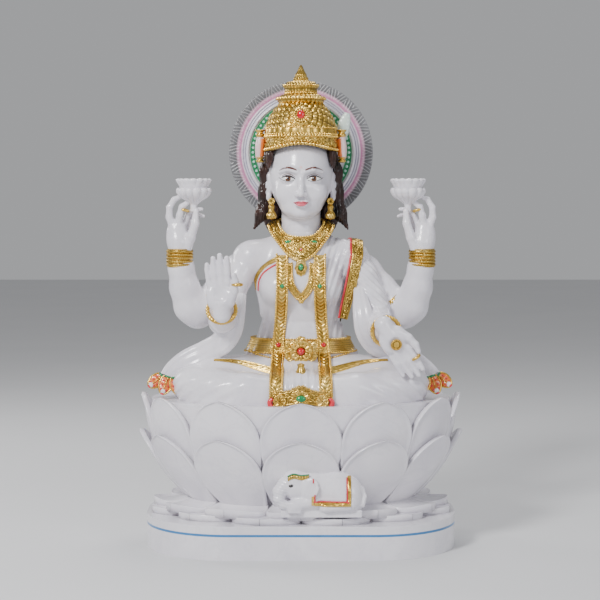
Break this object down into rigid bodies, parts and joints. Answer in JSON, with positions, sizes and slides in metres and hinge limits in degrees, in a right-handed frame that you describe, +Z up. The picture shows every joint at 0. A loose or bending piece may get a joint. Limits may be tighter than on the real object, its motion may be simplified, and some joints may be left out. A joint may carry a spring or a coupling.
{
  "type": "seated four-armed deity statue on lotus base",
  "caption": "Seated four-armed deity statue in painted white marble, on a petalled lotus bowl over a plinth, with a crown, a halo disc and held lotus flowers.",
  "frame": {"origin": "centre of the plinth's flat underside", "axes": "+Z up; the figure faces -Y; +X is the figure's own left"},
  "size_m": [0.4178, 0.2656, 0.61],
  "materials": {
    "marble": "white marble, honed and polished",
    "gold_leaf": "marble gilded with gold leaf over carved relief",
    "blue_paint": "thin painted line on marble, gloss",
    "hair_paint": "marble painted dark brown, satin",
    "pink_paint": "marble painted pale pink with gilded ends",
    "pale_green_paint": "marble tinted pale green",
    "red_stone": "red glass stone, faceted",
    "green_stone": "green glass stone, faceted",
    "halo_paint": "marble disc engraved and painted in silver, pink and green rings",
    "steel": "plain round bar"
  },
  "bodies": {
    "root": {"plinth": "marble", "plinth_line": "blue_paint", "base_petals_outer": "marble", "base_petals_inner": "marble", "bowl_core": "marble", "lower_petals": "marble", "upper_petals": "marble", "lap": "marble", "lap_hems": "gold_leaf", "torso": "marble", "blouse_edge": "gold_leaf", "pallu": "marble", "pallu_border": "gold_leaf", "belt": "gold_leaf", "belt_buckle": "gold_leaf", "collar": "gold_leaf", "pendant_loop": "gold_leaf", "right_chain": "gold_leaf", "left_chain": "gold_leaf", "chain_plate": "gold_leaf", "neck": "marble", "head": "marble", "hair": "hair_paint", "earrings": "gold_leaf", "crown_band": "gold_leaf", "crown_dome": "gold_leaf", "crown_tier": "gold_leaf", "crown_finial": "gold_leaf", "crown_side_ornaments": "pink_paint", "crown_plume": "pale_green_paint", "red_stones": "red_stone", "green_stones": "green_stone", "halo_disc": "halo_paint", "halo_stud": "steel", "right_rear_upper_arm": "marble", "right_rear_forearm": "marble", "right_rear_hand": "marble", "left_rear_upper_arm": "marble", "left_rear_forearm": "marble", "left_rear_hand": "marble", "right_front_upper_arm": "marble", "right_front_forearm": "marble", "right_front_hand": "marble", "left_front_upper_arm": "marble", "left_front_forearm": "marble", "left_front_hand": "marble", "rear_cuffs": "gold_leaf", "front_bangles": "gold_leaf", "armlets": "gold_leaf", "finger_rings": "gold_leaf", "right_lotus": "marble", "left_lotus": "marble", "palm_coin": "gold_leaf", "right_sash": "marble", "left_sash": "marble", "elephant": "marble", "elephant_trappings": "gold_leaf", "dowels": "steel"}
  },
  "joints": []
}
